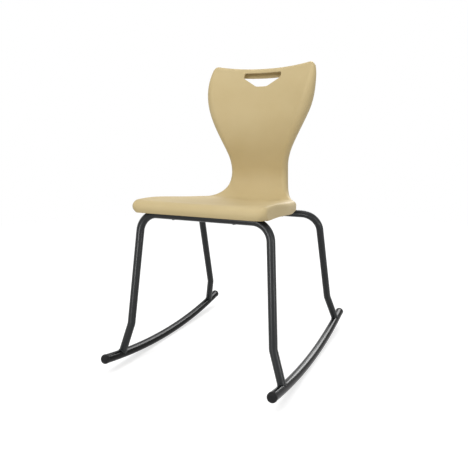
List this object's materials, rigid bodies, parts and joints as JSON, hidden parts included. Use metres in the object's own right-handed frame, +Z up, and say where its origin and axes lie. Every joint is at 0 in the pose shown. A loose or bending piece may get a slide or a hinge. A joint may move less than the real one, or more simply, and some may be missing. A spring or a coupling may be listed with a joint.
{
  "type": "rocking school chair",
  "caption": "Rocking school chair with a one-piece moulded seat and back with a hand-hold, on bent tube legs and curved tube rockers.",
  "frame": {"origin": "on the floor, midway between the two rockers and their four end caps", "axes": "+Z up; the sitter faces -Y; +X is the right-hand side seen from the front of the chair"},
  "size_m": [0.5164, 0.6778, 0.8735],
  "materials": {
    "shell_plastic": "satin, sand-coloured moulded plastic",
    "leg_powder_coat": "satin charcoal powder coat on steel tube",
    "saddle_powder_coat": "satin charcoal powder coat on pressed steel",
    "runner_gloss": "gloss black powder coat on steel tube",
    "cap_plastic": "matte black plastic",
    "zinc": "bright zinc plate"
  },
  "bodies": {
    "root": {"seat_shell": "shell_plastic", "front_leg_arch": "leg_powder_coat", "rear_leg_arch": "leg_powder_coat", "left_seat_rail": "leg_powder_coat", "right_seat_rail": "leg_powder_coat", "front_left_saddle": "saddle_powder_coat", "front_right_saddle": "saddle_powder_coat", "rear_left_saddle": "saddle_powder_coat", "rear_right_saddle": "saddle_powder_coat", "seat_screws": "zinc", "seat_washers": "zinc", "left_runner": "runner_gloss", "right_runner": "runner_gloss", "front_left_cap": "cap_plastic", "front_right_cap": "cap_plastic", "rear_left_cap": "cap_plastic", "rear_right_cap": "cap_plastic"}
  },
  "joints": []
}
